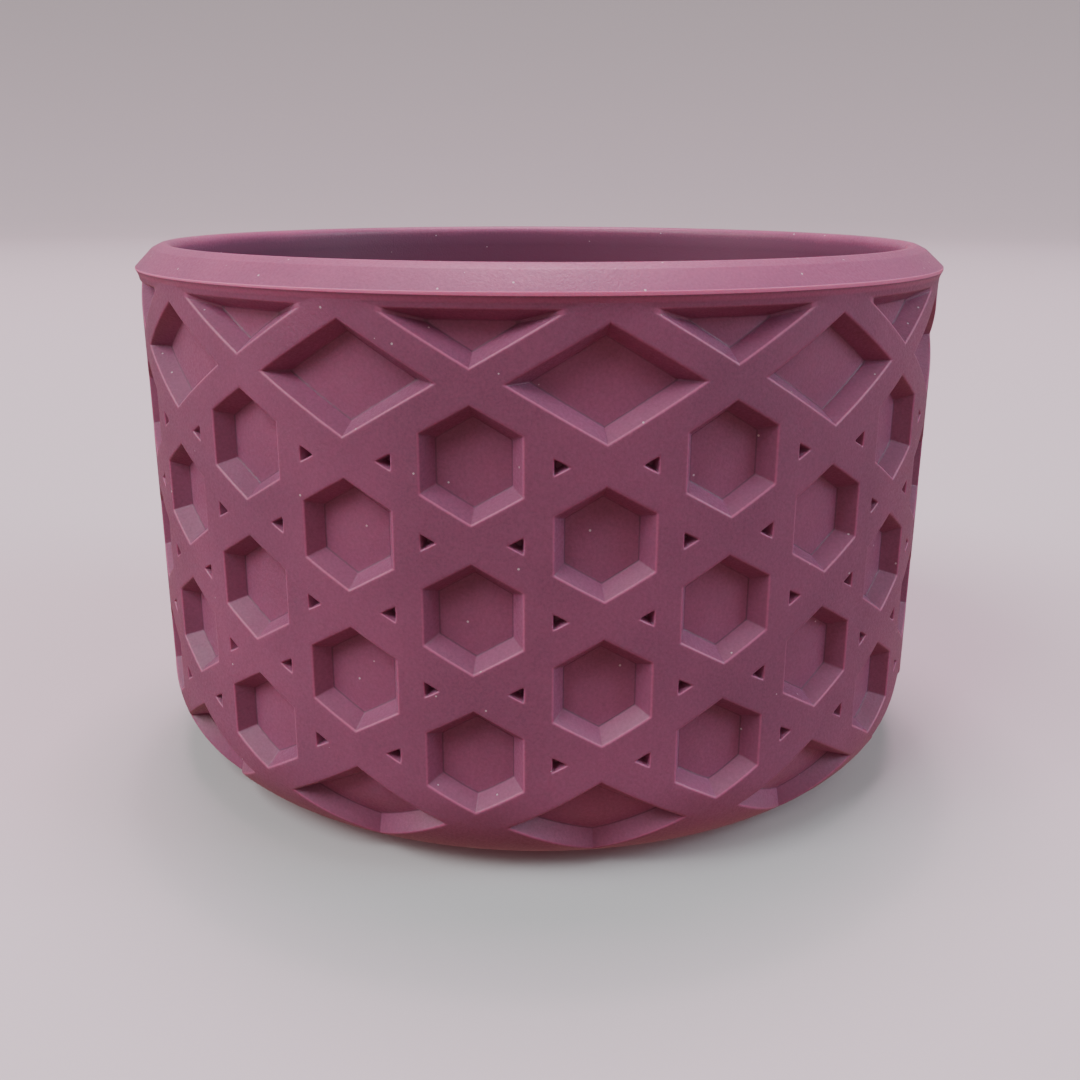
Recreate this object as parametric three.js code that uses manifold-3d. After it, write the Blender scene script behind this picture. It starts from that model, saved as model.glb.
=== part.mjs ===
// Round silicone boot: a flexible cup whose outside wall carries a woven-cane lattice in relief.
//
// Millimetres, +Z up. The origin is the middle of the flat underside, so the boot stands on z = 0.
// The real thing is one moulding. Here it is divided where its section changes: the bevelled lip,
// the openwork lattice that stands proud, the smooth liner behind it, the rounded shoulder and
// the floor. They meet face to face and never move against each other.

import * as THREE from 'three';
import { mergeVertices } from 'three/addons/utils/BufferGeometryUtils.js';
import Module from 'manifold-3d';

const wasm = await Module();
wasm.setup();

// ---- Driving dimensions -------------------------------------------------------------------

const WALL_RADIUS = 42;          // face of the lattice strands
const BORE_RADIUS = 38.5;        // smooth inside wall
const POCKET_DEPTH = 1.7;        // from the strand face down to the pocket floor
const FLOOR_THICKNESS = 3;
const SHOULDER_RADIUS = 9.1;     // outside rounding between wall and underside

const PARTING_HEIGHT = 52;       // sharp outer edge of the lip
const LIP_RADIUS = 42.35;
const LIP_FOOT_HEIGHT = 51.4;    // where the lip grows out of the wall
const RIM_HEIGHT = 54.35;        // top of the boot
const BEVEL_TOP_RADIUS = 40.6;   // where the steep bevel turns into the rim
const BEVEL_TOP_HEIGHT = 53.9;
const RIM_RADIUS = 39.7;         // outer edge of the level rim
const RIM_ROUNDING = 0.9;        // inside edge of the rim

const COLUMN_PAIRS = 12;         // an A column and a B column side by side, twelve times round
const ROW_STEP = 6.565;          // height between a row of the A columns and the next B row
const TOP_ROW_DROP = 0.29;       // from the parting edge down to the uppermost row
const HEXAGON = { halfWidth: 4.25, halfHeight: 4.91, shoulder: 2.49 };
const DIAMOND = { halfWidth: 8.19, halfHeight: 4.79 };
const TOP_TRIANGLE = { halfWidth: 7.33, top: 1.06, bottom: 5.62 };   // drops from the parting edge
const DIMPLE = { side: 4.3, apex: 2.95, halfHeight: 0.71 };          // beside each crossing
const WALL_DRAFT = 0.565;        // sideways run of a pocket wall for each mm of its depth
const DIMPLE_DRAFT = 0.2;

const FACETS = 48;               // round the boot, two to a column
const SKIN_GAP = 0.05;           // between the lattice and the liner that backs it

const COLUMN_STEP = Math.PI / COLUMN_PAIRS;
const WALL_FOOT = SHOULDER_RADIUS;
const LINER_RADIUS = WALL_RADIUS - POCKET_DEPTH;
const FLOOR_RADIUS = BORE_RADIUS - (WALL_FOOT - FLOOR_THICKNESS);

// ---- Turned solids ------------------------------------------------------------------------

// Points along an arc in a half section, as radius and height.
function arc(radius, height, size, fromDegrees, toDegrees, steps) {
  const points = [];
  for (let i = 0; i <= steps; i += 1) {
    const angle = THREE.MathUtils.degToRad(fromDegrees + ((toDegrees - fromDegrees) * i) / steps);
    points.push([radius + size * Math.cos(angle), height + size * Math.sin(angle)]);
  }
  return points;
}

// A solid of revolution about Z. The outline runs anticlockwise, radius to the right.
function turned(outline) {
  const closed = outline[0][0] > 0 ? [...outline, outline[0]] : outline;
  const points = closed.map(([radius, height]) => new THREE.Vector2(radius, height));
  return new THREE.LatheGeometry(points, FACETS).rotateX(Math.PI / 2);
}

// ---- Cut solids ---------------------------------------------------------------------------

function toSolid(geometry) {
  const bare = geometry.clone();
  bare.deleteAttribute('normal');
  bare.deleteAttribute('uv');
  const merged = mergeVertices(bare, 1e-4);
  const vertProperties = new Float32Array(merged.attributes.position.array);
  const triVerts = new Uint32Array(merged.index.array);
  return new wasm.Manifold(new wasm.Mesh({ numProp: 3, vertProperties, triVerts }));
}

function toGeometry(solid) {
  const { vertProperties, triVerts } = solid.getMesh();
  const geometry = new THREE.BufferGeometry();
  geometry.setAttribute('position', new THREE.BufferAttribute(vertProperties, 3));
  geometry.setIndex(new THREE.BufferAttribute(triVerts, 1));
  const faceted = geometry.toNonIndexed();
  faceted.computeVertexNormals();
  return faceted;
}

// The outer skin as a sheet: `drop` runs down the wall from the parting edge and on round the
// shoulder, `turn` is the angle about Z from the front, and `proud` stands off the skin.
function onSkin(turn, drop, proud) {
  const past = Math.max(0, drop - (PARTING_HEIGHT - WALL_FOOT));
  const tilt = past / SHOULDER_RADIUS;
  const reach = SHOULDER_RADIUS + proud;
  const radius = WALL_RADIUS - SHOULDER_RADIUS + reach * Math.cos(tilt);
  const height = past > 0 ? WALL_FOOT - reach * Math.sin(tilt) : PARTING_HEIGHT - drop;
  return new THREE.Vector3(radius * Math.sin(turn), -radius * Math.cos(turn), height);
}

// A tapered plug that cuts one pocket. The corners are [across, drop] in millimetres on the skin,
// clockwise from outside. They spread outwards and close in inwards about the middle, so that
// each wall has the same draft.
function plug(column, middle, inscribed, draft, corners) {
  const positions = [];
  const index = [];
  for (const proud of [3, -POCKET_DEPTH - 0.8]) {
    const scale = 1 + (proud * draft) / inscribed;
    for (const [across, drop] of corners) {
      const turn = column + ((across - middle[0]) * scale + middle[0]) / WALL_RADIUS;
      const point = onSkin(turn, middle[1] + (drop - middle[1]) * scale, proud);
      positions.push(point.x, point.y, point.z);
    }
  }
  const count = corners.length;
  for (let i = 0; i < count; i += 1) {
    const next = (i + 1) % count;
    index.push(i, next, count + i, next, count + next, count + i);
    if (i > 0 && i < count - 1) {
      index.push(0, i + 1, i, count, count + i, count + i + 1);
    }
  }
  const geometry = new THREE.BufferGeometry();
  geometry.setAttribute('position', new THREE.Float32BufferAttribute(positions, 3));
  geometry.setIndex(index);
  return geometry;
}

function hexagonPlug(column, drop) {
  const { halfWidth: w, halfHeight: h, shoulder: s } = HEXAGON;
  const outline = [[0, -h], [w, -s], [w, s], [0, h], [-w, s], [-w, -s]];
  const corners = outline.map(([across, down]) => [across, drop + down]);
  return plug(column, [0, drop], w, WALL_DRAFT, corners);
}

function diamondPlug(column, drop) {
  const { halfWidth: w, halfHeight: h } = DIAMOND;
  const corners = [[0, drop - h], [w, drop], [0, drop + h], [-w, drop]];
  return plug(column, [0, drop], (w * h) / Math.hypot(w, h), WALL_DRAFT, corners);
}

// The largest circle in a triangle with one upright or level side: its middle and radius.
function insideTriangle(base, height) {
  const slope = Math.hypot(base / 2, height);
  return (base * height) / (base + 2 * slope);
}

function topTrianglePlug(column) {
  const { halfWidth: w, top, bottom } = TOP_TRIANGLE;
  const inscribed = insideTriangle(2 * w, bottom - top);
  const corners = [[-w, top], [w, top], [0, bottom]];
  return plug(column, [0, top + inscribed], inscribed, WALL_DRAFT, corners);
}

function dimplePlug(column, drop, side) {
  const { side: flat, apex, halfHeight: h } = DIMPLE;
  const inscribed = insideTriangle(2 * h, flat - apex);
  const corners = [[side * flat, drop - h], [side * flat, drop + h], [side * apex, drop]];
  if (side < 0) {
    corners.reverse();
  }
  return plug(column, [side * (flat - inscribed), drop], inscribed, DIMPLE_DRAFT, corners);
}

// Row 0 is the level of the cut-off triangles; the A columns hold the even rows and the B columns
// the odd ones. Dimples sit level with the crossing between two pockets of one column.
const rowDrop = (row) => TOP_ROW_DROP + row * ROW_STEP;

function pocketPlugs() {
  const plugs = [];
  for (let pair = 0; pair < COLUMN_PAIRS; pair += 1) {
    const columnA = (2 * pair - 0.5) * COLUMN_STEP;
    const columnB = columnA + COLUMN_STEP;
    plugs.push(topTrianglePlug(columnA));
    [2, 4, 6].forEach((row) => plugs.push(hexagonPlug(columnA, rowDrop(row))));
    [3, 5].forEach((row) => plugs.push(hexagonPlug(columnB, rowDrop(row))));
    [1, 7].forEach((row) => plugs.push(diamondPlug(columnB, rowDrop(row))));
    for (const side of [-1, 1]) {
      [3, 5].forEach((row) => plugs.push(dimplePlug(columnA, rowDrop(row), side)));
      [2, 4, 6].forEach((row) => plugs.push(dimplePlug(columnB, rowDrop(row), side)));
    }
  }
  return wasm.Manifold.union(plugs.map(toSolid));
}

// ---- The sub-parts ------------------------------------------------------------------------

const pockets = pocketPlugs();

function rimLip() {
  return turned([
    [BORE_RADIUS, LIP_FOOT_HEIGHT],
    [WALL_RADIUS, LIP_FOOT_HEIGHT],
    [LIP_RADIUS - 0.05, PARTING_HEIGHT - 0.2],
    [LIP_RADIUS, PARTING_HEIGHT],
    [LIP_RADIUS - 0.12, PARTING_HEIGHT + 0.25],
    [BEVEL_TOP_RADIUS, BEVEL_TOP_HEIGHT],
    [RIM_RADIUS, RIM_HEIGHT],
    ...arc(BORE_RADIUS + RIM_ROUNDING, RIM_HEIGHT - RIM_ROUNDING, RIM_ROUNDING, 90, 180, 4),
  ]);
}

function latticeSleeve() {
  const tube = turned([
    [LINER_RADIUS + SKIN_GAP, WALL_FOOT],
    [WALL_RADIUS, WALL_FOOT],
    [WALL_RADIUS, LIP_FOOT_HEIGHT],
    [LINER_RADIUS + SKIN_GAP, LIP_FOOT_HEIGHT],
  ]);
  return toGeometry(toSolid(tube).subtract(pockets));
}

function linerWall() {
  return turned([
    [BORE_RADIUS, WALL_FOOT],
    [LINER_RADIUS, WALL_FOOT],
    [LINER_RADIUS, LIP_FOOT_HEIGHT],
    [BORE_RADIUS, LIP_FOOT_HEIGHT],
  ]);
}

// The pockets of the lowest row run on round the shoulder; their floors follow its curve.
function shoulderRing() {
  const middle = WALL_RADIUS - SHOULDER_RADIUS;
  const ring = turned([
    [FLOOR_RADIUS, 0],
    ...arc(middle, WALL_FOOT, SHOULDER_RADIUS, -90, 0, 9),
    ...arc(FLOOR_RADIUS, WALL_FOOT, BORE_RADIUS - FLOOR_RADIUS, 0, -90, 6),
  ]);
  const core = turned([
    [0, POCKET_DEPTH],
    ...arc(middle, WALL_FOOT, SHOULDER_RADIUS - POCKET_DEPTH, -90, 0, 9),
    [LINER_RADIUS, PARTING_HEIGHT],
    [0, PARTING_HEIGHT],
  ]);
  return toGeometry(toSolid(ring).subtract(pockets.subtract(toSolid(core))));
}

function floorDisc() {
  return turned([[0, 0], [FLOOR_RADIUS, 0], [FLOOR_RADIUS, FLOOR_THICKNESS], [0, FLOOR_THICKNESS]]);
}

// ---- Assembly -----------------------------------------------------------------------------

const boot = new THREE.Group();

function addPart(name, geometry, color) {
  const material = new THREE.MeshStandardMaterial({ color, roughness: 0.55, metalness: 0 });
  const mesh = new THREE.Mesh(geometry, material);
  mesh.name = name;
  boot.add(mesh);
}

addPart('rim_lip', rimLip(), 0x9d6078);
addPart('lattice_sleeve', latticeSleeve(), 0x84506a);
addPart('liner_wall', linerWall(), 0x6a3448);
addPart('shoulder_ring', shoulderRing(), 0x84506a);
addPart('floor_disc', floorDisc(), 0x6a3448);

export default boot;
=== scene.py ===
"""A round silicone boot: a cup with a woven-cane lattice in relief, which cushions a bottle's base.

The real boot is one moulding. It is made here as the openwork skin, the smooth liner behind it,
the bevelled lip on top and the closed floor, each a closed mesh, on the frame's single body.
"""

import math

import bpy
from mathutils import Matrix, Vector
from mathutils.geometry import delaunay_2d_cdt


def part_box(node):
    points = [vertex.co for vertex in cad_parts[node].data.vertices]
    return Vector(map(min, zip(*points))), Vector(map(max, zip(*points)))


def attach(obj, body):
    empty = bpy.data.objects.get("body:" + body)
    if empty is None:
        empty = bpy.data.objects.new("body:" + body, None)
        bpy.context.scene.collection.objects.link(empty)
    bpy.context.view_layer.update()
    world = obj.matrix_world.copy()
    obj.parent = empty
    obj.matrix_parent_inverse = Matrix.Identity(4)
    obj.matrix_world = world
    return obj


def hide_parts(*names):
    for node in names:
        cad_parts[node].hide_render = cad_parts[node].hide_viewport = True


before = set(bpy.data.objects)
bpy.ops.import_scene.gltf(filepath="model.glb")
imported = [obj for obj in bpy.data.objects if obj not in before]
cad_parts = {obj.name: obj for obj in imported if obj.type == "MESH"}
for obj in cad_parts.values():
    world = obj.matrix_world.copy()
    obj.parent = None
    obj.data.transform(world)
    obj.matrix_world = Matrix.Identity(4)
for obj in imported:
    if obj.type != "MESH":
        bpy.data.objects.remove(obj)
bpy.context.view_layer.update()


# ---------------------------------------------------------------------------------------------
# Plum silicone. The whole boot is one shot of pigmented silicone rubber, pressed in a fine
# blasted steel mould: a matte, faintly grained face with a soft sheen, which picks up dust.

class Socket:
    """A node's output. Arithmetic on it adds Math nodes to its tree."""

    def __init__(self, graph, link):
        self.graph = graph
        self.link = link

    def math(self, operation, *values):
        inputs = dict(enumerate(values))
        return self.graph.add("ShaderNodeMath", {"operation": operation}, inputs)

    def __add__(self, other):
        return self.math("ADD", self, other)

    def __radd__(self, other):
        return self.math("ADD", other, self)

    def __sub__(self, other):
        return self.math("SUBTRACT", self, other)

    def __rsub__(self, other):
        return self.math("SUBTRACT", other, self)

    def __mul__(self, other):
        return self.math("MULTIPLY", self, other)

    def __rmul__(self, other):
        return self.math("MULTIPLY", other, self)

    def __truediv__(self, other):
        return self.math("DIVIDE", self, other)

    def __lt__(self, other):
        return self.math("LESS_THAN", self, other)

    def __gt__(self, other):
        return self.math("GREATER_THAN", self, other)


class Graph:
    """A shader or geometry tree that is written as calls."""

    def __init__(self, tree):
        self.tree = tree
        tree.nodes.clear()

    def add(self, kind, settings=None, inputs=None, output=0):
        node = self.tree.nodes.new(kind)
        for name, value in (settings or {}).items():
            setattr(node, name, value)
        for key, value in (inputs or {}).items():
            if isinstance(value, Socket):
                self.tree.links.new(value.link, node.inputs[key])
            else:
                node.inputs[key].default_value = value
        return Socket(self, node.outputs[output]) if len(node.outputs) else None


def silicone_material(name, body_colour, pale_colour, crease_shade_colour):
    """Pigmented silicone rubber. The pale colour is its whitish surface film, and painted light: a
    painted highlight on rounded outer edges, strongest where they face up, and a painted glow, as of
    light in thin rubber, at the parting edge and on the band under it. The dark colour is painted
    shade in the creases, and darkens the bore too.

    The pieces' points carry how deep they lie in a pocket, which paints the floors a little paler, and
    an edge number: 1 on a rounded outer edge, more at the parting edge and on the band under it, -1 in
    a crease, less in the bore.
    """
    material = bpy.data.materials.new(name)
    material.use_nodes = True
    graph = Graph(material.node_tree)
    place = graph.add("ShaderNodeTexCoord", output="Object")
    facing = graph.add("ShaderNodeTexCoord", output="Normal")
    upward = graph.add("ShaderNodeSeparateXYZ", None, {"Vector": facing}, "Z")
    edge = graph.add("ShaderNodeAttribute", {"attribute_name": "edge"}, output="Fac")
    depth = graph.add("ShaderNodeAttribute", {"attribute_name": "depth"}, output="Fac")

    cloud = graph.add("ShaderNodeTexNoise", None, {"Vector": place, "Scale": 70.0, "Detail": 3.0})
    ripple = graph.add("ShaderNodeTexNoise", None, {"Vector": place, "Scale": 420.0, "Detail": 2.0})
    grain = graph.add(
        "ShaderNodeTexNoise", None, {"Vector": place, "Scale": 3800.0, "Detail": 3.0, "Roughness": 0.65}
    )

    speck_cell = {"Vector": place, "Scale": 700.0, "Randomness": 1.0}
    reach = graph.add("ShaderNodeTexVoronoi", None, speck_cell, "Distance")
    lottery = graph.add("ShaderNodeTexVoronoi", None, speck_cell, "Color")
    ticket = graph.add("ShaderNodeSeparateColor", None, {"Color": lottery}, "Red")
    speck = (reach < 0.07) * (ticket > 0.8 - upward * 0.4)

    # Whitish film, mottle and grain, plus painted light: highlights on rounded edges, more where they face
    # up, glow at the parting edge and under the lip, and pocket floors a little paler with depth.
    bloom_and_painted_light = 0.14 + (cloud - 0.5) * 0.4 + (grain - 0.5) * 0.4 + edge * (upward * 0.4 + 0.25) + depth * 0.05
    tinted = graph.add(
        "ShaderNodeMix", {"data_type": "RGBA", "clamp_factor": True},
        {"Factor": bloom_and_painted_light, 6: (*body_colour, 1.0), 7: (*pale_colour, 1.0)}, 2,
    )
    # Painted shade: the creases round the pocket floors (edge -1) are mixed towards the dark colour, and
    # the bore (edge -2) is darkened more.
    crease_shaded = graph.add(
        "ShaderNodeMix", {"data_type": "RGBA", "clamp_factor": True},
        {"Factor": edge * -0.11, 6: tinted, 7: (*crease_shade_colour, 1.0)}, 2,
    )
    dusty = graph.add(
        "ShaderNodeMix", {"data_type": "RGBA"},
        {"Factor": speck * 0.8, 6: crease_shaded, 7: (0.75, 0.62, 0.66, 1.0)}, 2,
    )
    relief = graph.add(
        "ShaderNodeBump", None,
        {"Strength": 0.9, "Distance": 0.00004, "Height": grain * 0.8 + ripple * 0.35 + speck},
    )
    surface = graph.add(
        "ShaderNodeBsdfPrincipled", None,
        {
            "Base Color": dusty,
            "Roughness": 0.43 + (ripple - 0.5) * 0.15 - (grain - 0.5) * 0.4 + speck * 0.3,
            "Normal": relief,
            "Specular IOR Level": 0.4,
            "Subsurface Weight": 0.5,
            "Subsurface Scale": 1.0,
            "Subsurface Radius": (0.0012, 0.0003, 0.0005),
        },
    )
    graph.add("ShaderNodeOutputMaterial", None, {"Surface": surface})
    return material


silicone = silicone_material(
    "plum_silicone",
    body_colour=(0.245, 0.08, 0.156), pale_colour=(0.75, 0.2, 0.39), crease_shade_colour=(0.09, 0.015, 0.03),
)


# ---------------------------------------------------------------------------------------------
# Openwork skin. The outer face of the boot: cane strands 1.7 mm proud, crossing at 60 degrees
# between drafted pockets, which run from under the lip on round the rounded shoulder. It is
# moulded with the rest. Lengths on the skin are in millimetres, as unrolled on the strand face.

mm = 0.001
wall_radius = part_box("lattice_sleeve")[1].x / mm
lip_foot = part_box("rim_lip")[0].z / mm
shoulder_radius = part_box("shoulder_ring")[1].z / mm
pocket_depth = wall_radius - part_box("liner_wall")[1].x / mm
floor_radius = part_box("floor_disc")[1].x / mm

parting_height = lip_foot + 0.6
undercut_reach = 0.35            # how far the lip's underside stands out past the strands
undercut_drop = 1.1
skin_top = -0.08                 # the skin starts just under the parting edge
strip_foot = -0.62               # down to here it is a plain strip, with the pockets below
back_depth = pocket_depth + 0.4  # where the skin stops and the liner starts

tiles = 12
columns_in_tile = 2
tile_width = 2 * math.pi * wall_radius / tiles
column_gap = tile_width / columns_in_tile
row_step = 6.565
first_row = -0.29
steps_round = 24                 # facets along a tile's level edges

straight_wall = parting_height - shoulder_radius
shoulder_length = shoulder_radius * math.pi / 2
skin_bottom = -(straight_wall + shoulder_length + wall_radius - shoulder_radius - floor_radius)


def on_skin(across, up, depth=0.0):
    """The point in metres that lies this far round, and up from the parting edge, under the face."""
    past = max(0.0, -up - straight_wall)
    bend = min(past, shoulder_length) / shoulder_radius
    reach = shoulder_radius - depth
    radius = wall_radius - shoulder_radius + reach * math.cos(bend)
    height = parting_height + up if past == 0 else shoulder_radius - reach * math.sin(bend)
    radius -= max(0.0, past - shoulder_length)
    if -up < undercut_drop:
        radius += undercut_reach * (1 + up / undercut_drop) ** 2
    turn = across / wall_radius
    return Vector((radius * math.sin(turn), -radius * math.cos(turn), height)) * mm


def pocket_section(depth, draft, top_round, foot_round, steps):
    """A pocket's side from strand face to floor: distance inwards of its outline, depth and edge.

    Edge is 1 on the rounded outer edge, which the silicone paints with a highlight, -1 in the crease round
    the floor, which it paints with shade, and 0 elsewhere.
    """
    turn = math.pi / 2 - math.atan(draft)
    start = -top_round * math.tan(turn / 2)
    section = [(start - top_round * 0.6, 0.0, 0.0)]
    for i in range(steps + 1):
        angle = turn * i / steps
        drop = top_round * (1 - math.cos(angle))
        section.append((start + top_round * math.sin(angle), drop, math.sin(math.pi * i / steps)))
    end = depth * draft + foot_round * math.tan(turn / 2)
    for i in range(steps + 1):
        angle = turn * (1 - i / steps)
        rise = foot_round * (1 - math.cos(angle))
        section.append((end - foot_round * math.sin(angle), depth - rise, -math.sin(math.pi * i / steps)))
    section.append((end + foot_round * 1.5, depth, 0.0))
    return section


def rounded_outline(corners, middle, scale, corner_round, side_steps, corner_steps):
    """The pocket's outline shrunk or grown about its middle, with its corners rounded."""
    points = [(middle + (Vector(c) - middle) * scale) for c in corners]
    outline = []
    for i, corner in enumerate(points):
        before = (points[i - 1] - corner).normalized()
        after = (points[(i + 1) % len(points)] - corner).normalized()
        half_angle = before.angle(after) / 2
        centre = corner + (before + after).normalized() * (corner_round / math.sin(half_angle))
        run = corner_round / math.tan(half_angle)
        first = corner + before * run - centre
        sweep = math.pi - 2 * half_angle
        for step in range(corner_steps + 1):
            angle = sweep * step / corner_steps
            cos, sin = math.cos(angle), math.sin(angle)
            outline.append(centre + Vector((first.x * cos - first.y * sin, first.x * sin + first.y * cos)))
    return with_side_points(outline, corner_steps + 1, side_steps)


def with_side_points(outline, corner_points, side_steps):
    """Adds evenly spaced points on each straight side, which follows every corner's last point."""
    full = []
    sides = len(outline) // corner_points
    for i, point in enumerate(outline):
        full.append(point)
        if (i + 1) % corner_points == 0:
            steps = side_steps[(i // corner_points) % sides]
            following = outline[(i + 1) % len(outline)]
            full += [point.lerp(following, step / steps) for step in range(1, steps)]
    return full


class Skin:
    """Collects the tile's faces as (across, up, depth, edge) corners and makes one mesh of them."""

    def __init__(self):
        self.places = {}
        self.points = []
        self.edges = []
        self.depths = []
        self.faces = []

    def index(self, place):
        *spot, edge = place
        key = tuple(round(value, 4) for value in spot)
        if key not in self.places:
            self.places[key] = len(self.points)
            self.add_point(on_skin(*spot), edge, spot[2] / pocket_depth)
        return self.places[key]

    def add_point(self, point, edge, depth):
        self.points.append(point)
        self.edges.append(edge)
        self.depths.append(depth)

    def face(self, *corners):
        indices = [self.index(corner) for corner in corners]
        if len(set(indices)) == len(indices):
            self.faces.append(indices)

    def band(self, outer, outer_level, inner, inner_level):
        for i in range(len(outer)):
            j = (i + 1) % len(outer)
            a, b = (*outer[i], *outer_level), (*outer[j], *outer_level)
            c, d = (*inner[j], *inner_level), (*inner[i], *inner_level)
            self.face(a, b, c, d)

    def patch(self, border, holes, depth, spacing):
        """Fills the border, less its holes, with triangles of an even size."""
        loops = [border, *holes]
        points = [point for loop in loops for point in loop]
        edges = []
        start = 0
        for loop in loops:
            count = len(loop)
            edges += [(start + i, start + (i + 1) % count) for i in range(count)]
            start += count
        points += scattered(loops, spacing)
        sides = [(points[i], points[j]) for i, j in edges]
        placed, _, triangles, *_ = delaunay_2d_cdt(points, edges, [], 1, 1e-5)
        for triangle in triangles:
            corners = [placed[i] for i in triangle]
            middle = sum(corners, Vector((0, 0))) / 3
            if inside(middle.x, middle.y, sides):
                self.face(*[(*corner, depth, 0.0) for corner in corners])


def scattered(loops, spacing):
    """Points on a triangular grid inside the first loop, clear of every loop."""
    xs = [point.x for point in loops[0]]
    ys = [point.y for point in loops[0]]
    sides = [(loop[i], loop[(i + 1) % len(loop)]) for loop in loops for i in range(len(loop))]
    points = []
    row = 0
    y = min(ys) + spacing / 2
    while y < max(ys):
        x = min(xs) + spacing * (0.25 + 0.5 * (row % 2))
        while x < max(xs):
            if inside(x, y, sides) and clear(x, y, sides, spacing * 0.55):
                points.append(Vector((x, y)))
            x += spacing
        y += spacing * 0.87
        row += 1
    return points


def inside(x, y, sides):
    crossings = 0
    for a, b in sides:
        if (a.y > y) != (b.y > y) and x < a.x + (y - a.y) * (b.x - a.x) / (b.y - a.y):
            crossings += 1
    return crossings % 2 == 1


def clear(x, y, sides, distance):
    for a, b in sides:
        run, rise = b.x - a.x, b.y - a.y
        along = ((x - a.x) * run + (y - a.y) * rise) / (run * run + rise * rise)
        along = min(1.0, max(0.0, along))
        if math.hypot(a.x + run * along - x, a.y + rise * along - y) < distance:
            return False
    return True


def add_pocket(skin, corners, middle, inscribed, section, corner_round, side_steps, corner_steps, fill):
    """Lofts one pocket into the skin and returns its outermost loop, the hole in the face."""
    loops = []
    for inwards, *level in section:
        scale = 1 - inwards / inscribed
        outline = rounded_outline(corners, middle, scale, corner_round, side_steps, corner_steps)
        loops.append((outline, level))
    for (outer, outer_level), (inner, inner_level) in zip(loops, loops[1:]):
        skin.band(outer, outer_level, inner, inner_level)
    floor, level = loops[-1]
    skin.patch(floor, [], level[0], fill)
    return loops[0][0]


wall_section = pocket_section(pocket_depth, draft=0.565, top_round=0.28, foot_round=0.18, steps=3)
dimple_section = pocket_section(1.15, draft=0.16, top_round=0.13, foot_round=0.06, steps=2)


def hexagon_pocket(skin, across, up):
    half_width, half_height, shoulder = 4.25, 4.91, 2.49
    outline = [
        (0, half_height), (-half_width, shoulder), (-half_width, -shoulder),
        (0, -half_height), (half_width, -shoulder), (half_width, shoulder),
    ]
    corners = [(across + x, up + y) for x, y in outline]
    middle = Vector((across, up))
    return add_pocket(skin, corners, middle, half_width, wall_section, 0.2, [5] * 6, 3, 1.3)


def diamond_pocket(skin, across, up):
    half_width, half_height = 8.19, 4.79
    corners = [
        (across, up + half_height), (across - half_width, up),
        (across, up - half_height), (across + half_width, up),
    ]
    inscribed = half_width * half_height / math.hypot(half_width, half_height)
    middle = Vector((across, up))
    return add_pocket(skin, corners, middle, inscribed, wall_section, 0.08, [11] * 4, 3, 1.3)


def cut_off_pocket(skin, across):
    """The lower half of a diamond, cut off level under the lip, with blunt upper corners."""
    half_width, top, side_foot, tip = 7.12, -1.06, -1.46, -5.62
    corners = [
        (across + half_width, top), (across - half_width, top), (across - half_width, side_foot),
        (across, tip), (across + half_width, side_foot),
    ]
    slope = (side_foot - tip) / half_width
    full_width = (top - tip) / slope
    inscribed = full_width * (top - tip) / (full_width + math.hypot(full_width, top - tip))
    middle = Vector((across, top - inscribed))
    return add_pocket(skin, corners, middle, inscribed, wall_section, 0.08, [16, 1, 10, 10, 1], 3, 1.3)


def dimple(skin, across, up, side):
    """The small triangle left between two crossing strands and an upright one."""
    flat, apex, half_height = 4.3, 2.95, 0.71
    corners = [
        (across + side * apex, up),
        (across + side * flat, up - side * half_height),
        (across + side * flat, up + side * half_height),
    ]
    width = flat - apex
    inscribed = half_height * width / (half_height + math.hypot(half_height, width))
    middle = Vector((across + side * (flat - inscribed), up))
    return add_pocket(skin, corners, middle, inscribed, dimple_section, 0.1, [2] * 3, 2, 0.6)


def row_height(row):
    return first_row - row * row_step


def tile_pockets(skin):
    """One A column and one B column. A holds the cut-off diamond and even rows, B the odd ones."""
    a, b = -column_gap / 2, column_gap / 2
    holes = [cut_off_pocket(skin, a)]
    holes += [hexagon_pocket(skin, a, row_height(row)) for row in (2, 4, 6)]
    holes += [hexagon_pocket(skin, b, row_height(row)) for row in (3, 5)]
    holes += [diamond_pocket(skin, b, row_height(row)) for row in (1, 7)]
    for side in (-1, 1):
        holes += [dimple(skin, a, row_height(row), side) for row in (3, 5)]
        holes += [dimple(skin, b, row_height(row), side) for row in (2, 4, 6)]
    return holes


def tile_border():
    """Runs down the middle of the strands on both sides, so that no pocket is cut."""
    b, next_a, upright = column_gap / 2, column_gap * 1.5, column_gap
    turns = [
        (b, strip_foot), (next_a, -7.07), (upright, -10.35), (upright, -42.8),
        (next_a, -46.3), (next_a, skin_bottom),
    ]
    right = []
    for start, end in zip(turns, turns[1:]):
        start, end = Vector(start), Vector(end)
        steps = max(1, round((end - start).length / 0.9))
        right += [start.lerp(end, step / steps) for step in range(steps)]
    right.append(Vector(turns[-1]))
    shift = Vector((tile_width, 0))
    left = [point - shift for point in right]
    top = [left[0].lerp(right[0], step / steps_round) for step in range(1, steps_round)]
    bottom = [left[-1].lerp(right[-1], step / steps_round) for step in range(1, steps_round)]
    return left + bottom + right[::-1] + top[::-1]


def add_strip(skin):
    """The hollow curve between the parting edge and the pockets, painted paler towards the edge: a painted
    glow on this down-facing band, as of light through the rubber.
    """
    rows = 4
    # The edge number at the parting edge, where the painted glow is strongest.
    top_edge = 6.0
    left = column_gap / 2 - tile_width
    levels = [
        (strip_foot + (skin_top - strip_foot) * row / rows, 0.0, top_edge * row / rows)
        for row in range(rows + 1)
    ]
    for low, high in zip(levels, levels[1:]):
        for step in range(steps_round):
            here = left + tile_width * step / steps_round
            there = left + tile_width * (step + 1) / steps_round
            skin.face((here, *low), (there, *low), (there, *high), (here, *high))


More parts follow.
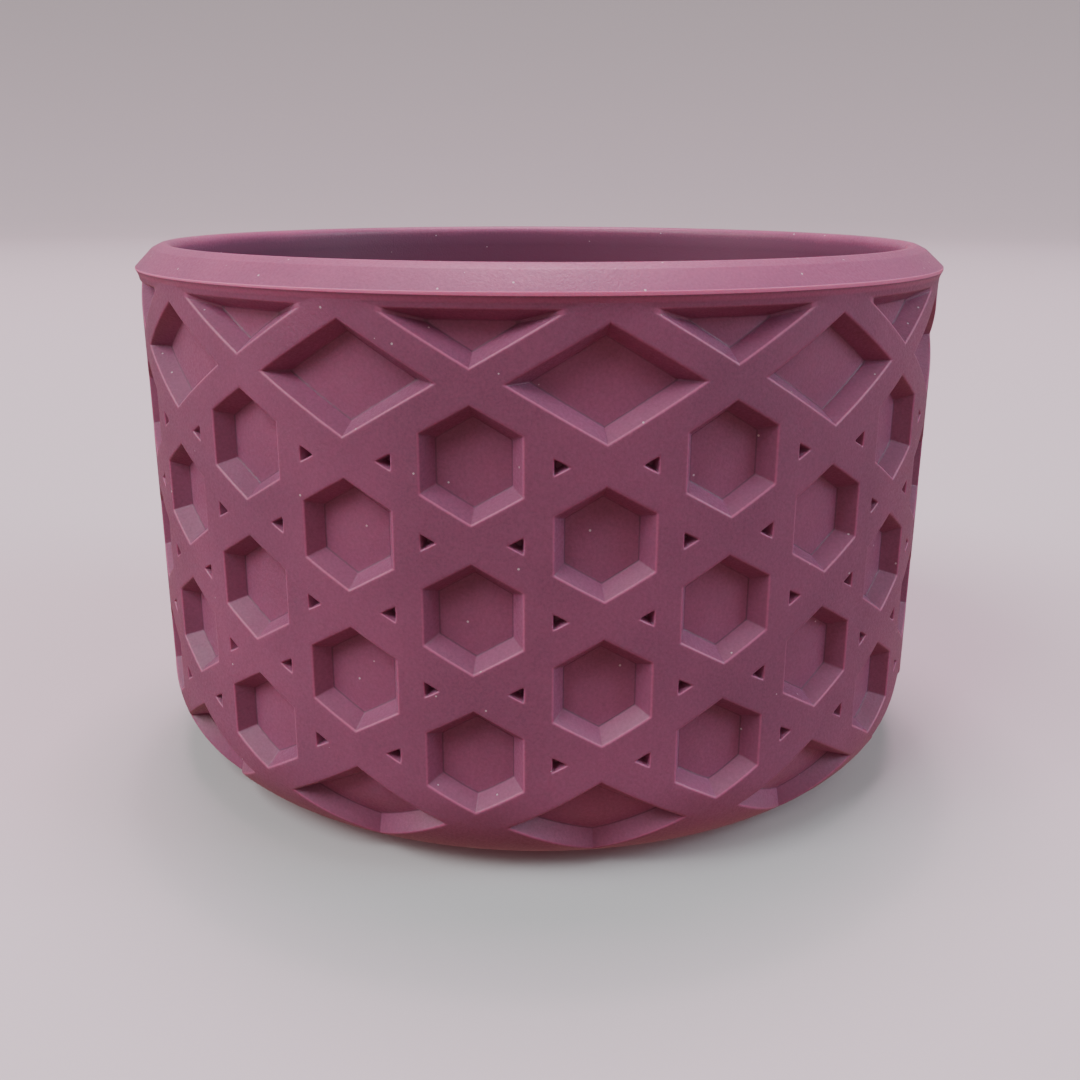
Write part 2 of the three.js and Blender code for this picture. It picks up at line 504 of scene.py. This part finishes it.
def add_back(skin):
    """The hidden side that the liner backs, from the skin's top edge to the underside's."""
    middle = wall_radius - shoulder_radius
    inner = wall_radius - back_depth
    top_edge = on_skin(0, skin_top) / mm
    section = [(-top_edge.y, top_edge.z)]
    section += [(inner, top_edge.z + (shoulder_radius - top_edge.z) * i / 6) for i in range(7)]
    for i in range(1, 9):
        angle = math.pi / 2 * i / 8
        reach = shoulder_radius - back_depth
        section.append((middle + reach * math.cos(angle), shoulder_radius - reach * math.sin(angle)))
    section += [(floor_radius, back_depth), (floor_radius, 0.0)]
    start = len(skin.points)
    for radius, height in section:
        for step in range(steps_round + 1):
            turn = (column_gap / 2 + tile_width * (step / steps_round - 1)) / wall_radius
            point = Vector((radius * math.sin(turn), -radius * math.cos(turn), height))
            skin.add_point(point * mm, 0.0, 0.0)
    across = steps_round + 1
    for row in range(len(section) - 1):
        for step in range(steps_round):
            corner = start + row * across + step
            skin.faces.append((corner, corner + 1, corner + across + 1, corner + across))


def tile_mesh():
    skin = Skin()
    holes = tile_pockets(skin)
    skin.patch(tile_border(), holes, 0.0, 0.95)
    add_strip(skin)
    add_back(skin)
    mesh = bpy.data.meshes.new("lattice_tile")
    mesh.from_pydata(skin.points, [], skin.faces)
    paint(mesh, "edge", skin.edges)
    # Depth paints the pocket floors a little paler: painted light.
    paint(mesh, "depth", skin.depths)
    return mesh


def paint(mesh, name, values):
    """Stores a number at each point, which the silicone's colour reads."""
    mesh.attributes.new(name, "FLOAT", "POINT").data.foreach_set("value", values)


def tile_ring_tree():
    """Geometry nodes: copies the tile round Z, welds the seams and gives it its material."""
    tree = bpy.data.node_groups.new("tile_ring", "GeometryNodeTree")
    names = [
        ("Tile", "NodeSocketGeometry"), ("Repeats", "NodeSocketInt"),
        ("Weld distance", "NodeSocketFloat"), ("Silicone", "NodeSocketMaterial"),
    ]
    for name, kind in names:
        tree.interface.new_socket(name, in_out="INPUT", socket_type=kind)
    tree.interface.new_socket("Skin", in_out="OUTPUT", socket_type="NodeSocketGeometry")
    graph = Graph(tree)
    given = [graph.add("NodeGroupInput", output=i) for i in range(len(names))]
    tile, repeats, weld, material = given
    points = graph.add("GeometryNodePoints", None, {"Count": repeats})
    turn = graph.add("GeometryNodeInputIndex") * (2 * math.pi) / repeats
    rotation = graph.add("ShaderNodeCombineXYZ", None, {"Z": turn})
    copies = graph.add(
        "GeometryNodeInstanceOnPoints", None,
        {"Points": points, "Instance": tile, "Rotation": rotation},
    )
    real = graph.add("GeometryNodeRealizeInstances", None, {0: copies})
    welded = graph.add("GeometryNodeMergeByDistance", None, {"Geometry": real, "Distance": weld})
    smooth = graph.add("GeometryNodeSetShadeSmooth", None, {"Geometry": welded})
    steep = graph.add("GeometryNodeInputMeshEdgeAngle") > math.radians(70)
    rimmed = graph.add(
        "GeometryNodeSetShadeSmooth", {"domain": "EDGE"},
        {"Geometry": smooth, "Selection": steep, "Shade Smooth": False},
    )
    finished = graph.add("GeometryNodeSetMaterial", None, {"Geometry": rimmed, "Material": material})
    graph.add("NodeGroupOutput", None, {0: finished})
    return tree


def plain_copy(source, name):
    """The evaluated object as a plain mesh object, with its modifier and source removed."""
    depsgraph = bpy.context.evaluated_depsgraph_get()
    mesh = bpy.data.meshes.new_from_object(source.evaluated_get(depsgraph))
    mesh.name = name
    bpy.data.objects.remove(source)
    piece = bpy.data.objects.new(name, mesh)
    bpy.context.scene.collection.objects.link(piece)
    return piece


def make_lattice_skin():
    tile = bpy.data.objects.new("lattice_tile", tile_mesh())
    bpy.context.scene.collection.objects.link(tile)
    modifier = tile.modifiers.new("tile_ring", "NODES")
    modifier.node_group = tile_ring_tree()
    sockets = {item.name: item.identifier for item in modifier.node_group.interface.items_tree}
    modifier[sockets["Repeats"]] = tiles
    modifier[sockets["Weld distance"]] = 0.002 * mm
    modifier[sockets["Silicone"]] = silicone
    flat_faces = tile.modifiers.new("flat_faces", "WEIGHTED_NORMAL")
    flat_faces.weight = 90
    flat_faces.keep_sharp = True
    return plain_copy(tile, "lattice_skin")


lattice_skin = make_lattice_skin()
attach(lattice_skin, "root")
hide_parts("lattice_sleeve", "shoulder_ring")


# ---------------------------------------------------------------------------------------------
# Liner. The smooth wall that grips the bottle, with a rounded inside corner at its foot. Its
# outer side is buried behind the pockets' floors.

def rounded_section(*corners, steps=6):
    """A half section through these (radius, height, rounding, edge) corners.

    The result's points are (radius, height, edge), and edge peaks in the middle of a rounding.
    """
    section = []
    for i, (radius, height, rounding, edge) in enumerate(corners):
        corner = Vector((radius, height))
        if rounding == 0:
            section.append((radius, height, edge))
            continue
        before = (Vector(corners[i - 1][:2]) - corner).normalized()
        after = (Vector(corners[(i + 1) % len(corners)][:2]) - corner).normalized()
        half_angle = before.angle(after) / 2
        centre = corner + (before + after).normalized() * (rounding / math.sin(half_angle))
        spoke = corner + before * (rounding / math.tan(half_angle)) - centre
        sweep = math.pi - 2 * half_angle
        if before.cross(after) > 0:
            sweep = -sweep
        for step in range(steps + 1):
            cos, sin = math.cos(sweep * step / steps), math.sin(sweep * step / steps)
            x, y = spoke.x * cos - spoke.y * sin, spoke.x * sin + spoke.y * cos
            section.append((centre.x + x, centre.y + y, edge * math.sin(math.pi * step / steps)))
    return section


def turned(name, section, steps=tiles * steps_round):
    """A closed solid of revolution. The section runs anticlockwise, radius to the right."""
    points, edges, rings = [], [], []
    for radius, height, edge in section:
        copies = steps if radius > 0 else 1
        rings.append([len(points) + step % copies for step in range(steps)])
        edges += [edge] * copies
        for step in range(copies):
            turn = 2 * math.pi * step / steps
            points.append(Vector((radius * math.sin(turn), -radius * math.cos(turn), height)) * mm)
    faces = []
    closed = section[0][0] > 0
    for i in range(len(rings) if closed else len(rings) - 1):
        lower, upper = rings[i], rings[(i + 1) % len(rings)]
        for step in range(steps):
            following = (step + 1) % steps
            face = [lower[step], lower[following], upper[following], upper[step]]
            faces.append(list(dict.fromkeys(face)))
    mesh = bpy.data.meshes.new(name)
    mesh.from_pydata(points, [], [face for face in faces if len(face) > 2])
    paint(mesh, "edge", edges)
    mesh.materials.append(silicone)
    mesh.shade_smooth()
    piece = bpy.data.objects.new(name, mesh)
    bpy.context.scene.collection.objects.link(piece)
    return piece


def keep_creases(piece, degrees):
    """Marks the edges that turn by more than this as sharp, so that flat faces stay flat."""
    piece.data.set_sharp_from_angle(angle=math.radians(degrees))


bore_radius = wall_radius - 3.5
floor_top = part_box("floor_disc")[1].z / mm
corner_radius = shoulder_radius - floor_top
seam_top = parting_height + skin_top
seam_gap = 0.02                  # keeps buried faces of neighbouring pieces apart
bore_edge = -2.0                 # the edge number that gives the bore its deeper colour
liner_outside = wall_radius - back_depth - seam_gap
liner_foot = floor_radius - 0.6

liner_section = [
    (liner_outside, shoulder_radius, 0.0),
    (liner_outside, seam_top, 0.0),
    *[(bore_radius, seam_top - (seam_top - shoulder_radius) * i / 12, bore_edge) for i in range(12)],
    *[(radius, height, bore_edge) for radius, height, _ in rounded_section(
        (bore_radius, seam_top, 0, 0.0), (bore_radius, floor_top, corner_radius, 0.0),
        (liner_foot, floor_top, 0, 0.0), steps=14)[1:]],
    *rounded_section((liner_foot, back_depth + seam_gap, 0, 0.0),
                     (liner_outside, back_depth + seam_gap, shoulder_radius - back_depth - seam_gap, 0.0),
                     (liner_outside, seam_top, 0, 0.0), steps=8)[:-2],
]
liner = turned("liner", liner_section)
keep_creases(liner, 40)
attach(liner, "root")
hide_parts("liner_wall")


# ---------------------------------------------------------------------------------------------
# Lip. A bevelled collar on top of the wall. The mould parts at its outer edge, which leaves a
# narrow upright land there; the rim above is rounded over into the bore.

rim_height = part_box("rim_lip")[1].z / mm
lip_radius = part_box("rim_lip")[1].x / mm
bevel_radius, bevel_height = 40.6, 53.9       # where the bevel turns into the rim
rim_radius = 39.7
land = 0.32                      # height of the upright strip along the parting edge
land_edge = 4.0                  # the edge number that paints the land pale: a painted glow, as of light through thin rubber
mismatch = 0.2                   # the mould's halves were a little askew: less land to the left

lip_section = rounded_section(
    (bore_radius, seam_top, 0, bore_edge),
    (-on_skin(0, skin_top).y / mm, seam_top, 0, 0.4),
    (lip_radius, parting_height + 0.02, 0.05, land_edge),
    (lip_radius, parting_height + land, 0.12, land_edge),
    (bevel_radius, bevel_height, 0.5, 0.0),
    (rim_radius, rim_height, 0.6, 0.0),
    (bore_radius, rim_height, 0.85, 0.0),
)
rim = turned("bevelled_lip", lip_section)
# Every point on the land takes the land's edge number, its painted glow; the land is also tilted for the
# mismatch.
for vertex, edge in zip(rim.data.vertices, rim.data.attributes["edge"].data):
    above = vertex.co.z / mm - parting_height
    if 0 < above < land:
        edge.value = land_edge
    if land / 2 < above < land * 1.5:
        vertex.co.z += mismatch * min(0.0, vertex.co.x) / lip_radius
keep_creases(rim, 60)
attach(rim, "root")
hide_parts("rim_lip")


# ---------------------------------------------------------------------------------------------
# Floor. The plain closed bottom, level with the underside that the boot stands on.

floor_section = [
    *[(floor_radius * i / 8, 0.0, 0.0) for i in range(9)],
    (floor_radius, back_depth, 0.0),
    (liner_foot, back_depth, 0.0),
    *[(liner_foot * i / 8, floor_top, bore_edge) for i in range(8, -1, -1)],
]
floor_plate = turned("floor_plate", floor_section, 96)
keep_creases(floor_plate, 40)
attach(floor_plate, "root")
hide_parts("floor_disc")


# ---------------------------------------------------------------------------------------------
# Studio. A pale round table top that sweeps up into a wall all the way round, five soft lights
# and a small one for the glint on the lip, and the camera close in front, just above the rim.

def studio_material(name, colour):
    material = bpy.data.materials.new(name)
    material.use_nodes = True
    graph = Graph(material.node_tree)
    surface = graph.add("ShaderNodeBsdfPrincipled", None, {"Base Color": (*colour, 1.0), "Roughness": 0.8})
    graph.add("ShaderNodeOutputMaterial", None, {"Surface": surface})
    return material


def make_sweep():
    """The table and wall in one. They take light and shadow but send none back at the boot."""
    table_height = -0.00002
    table_radius, bend, wall_height = 1.4, 1.6, 4.0
    steps, bend_steps = 96, 12
    section = [(0.2, table_height), (table_radius, table_height)]
    for i in range(1, bend_steps + 1):
        angle = math.pi / 2 * i / bend_steps
        section.append((table_radius + bend * math.sin(angle), bend * (1 - math.cos(angle))))
    section.append((table_radius + bend, wall_height))
    points = [
        (radius * math.sin(2 * math.pi * i / steps), -radius * math.cos(2 * math.pi * i / steps), z)
        for radius, z in section for i in range(steps)
    ]
    faces = [list(range(steps))]
    faces += [
        (ring * steps + i, (ring + 1) * steps + i,
         (ring + 1) * steps + (i + 1) % steps, ring * steps + (i + 1) % steps)
        for ring in range(len(section) - 1) for i in range(steps)
    ]
    mesh = bpy.data.meshes.new("studio_sweep")
    mesh.from_pydata(points, [], faces)
    mesh.materials.append(studio_material("table_paint", (0.62, 0.61, 0.62)))
    mesh.shade_smooth()
    sweep = bpy.data.objects.new("studio_sweep", mesh)
    sweep.visible_diffuse = False
    sweep.visible_glossy = False
    bpy.context.scene.collection.objects.link(sweep)


def soft_light(name, round_from_front, elevation, power, colour, size=0.9):
    """A square light two metres from the boot, this many degrees round to the right and up."""
    light = bpy.data.lights.new(name, "AREA")
    light.size = size
    light.energy = power
    light.color = colour
    lamp = bpy.data.objects.new(name, light)
    turn, rise = math.radians(round_from_front), math.radians(elevation)
    aim = Vector((-math.sin(turn) * math.cos(rise), math.cos(turn) * math.cos(rise), -math.sin(rise)))
    lamp.location = Vector((0, 0, 0.03)) - aim * 2.0
    lamp.rotation_euler = aim.to_track_quat("-Z", "Y").to_euler()
    lamp.visible_camera = False
    bpy.context.scene.collection.objects.link(lamp)


def make_camera():
    lens_data = bpy.data.cameras.new("camera")
    lens_data.sensor_width = 36.0
    lens_data.lens = 38.98
    lens_data.clip_start = 0.005
    camera = bpy.data.objects.new("camera", lens_data)
    camera.location = (0.0, -0.13237, parting_height * mm + 0.00815)
    camera.rotation_euler = (math.radians(73.056), math.radians(-0.148), math.radians(-0.025))
    bpy.context.scene.collection.objects.link(camera)
    bpy.context.scene.camera = camera


def make_world():
    """Dim light from all round, warmer from below, as off a wooden counter."""
    below, above = (0.34, 0.18, 0.16, 1.0), (0.31, 0.3, 0.28, 1.0)
    world = bpy.data.worlds.new("studio")
    world.use_nodes = True
    graph = Graph(world.node_tree)
    direction = graph.add("ShaderNodeTexCoord", output="Generated")
    upward = graph.add("ShaderNodeSeparateXYZ", None, {"Vector": direction}, "Z")
    tint = graph.add(
        "ShaderNodeMix", {"data_type": "RGBA", "clamp_factor": True},
        {"Factor": upward * 2.0 + 0.5, 6: below, 7: above}, 2,
    )
    glow = graph.add("ShaderNodeBackground", None, {"Color": tint})
    graph.add("ShaderNodeOutputWorld", None, {"Surface": glow})
    bpy.context.scene.world = world


make_sweep()
soft_light("key", -50, 50, 22.0, (0.95, 0.98, 1.0))
soft_light("overhead", 180, 74, 37.0, (1.0, 0.54, 0.74))
soft_light("glint", 180, 76, 6.0, (1.0, 0.62, 0.74), size=0.12)
soft_light("left_side", -80, 25, 13.0, (1.0, 0.98, 0.94))
soft_light("right_side", 80, 25, 16.0, (0.66, 0.92, 1.0))
soft_light("front_right", 50, 50, 5.0, (1.0, 0.8, 0.85))
make_world()
make_camera()
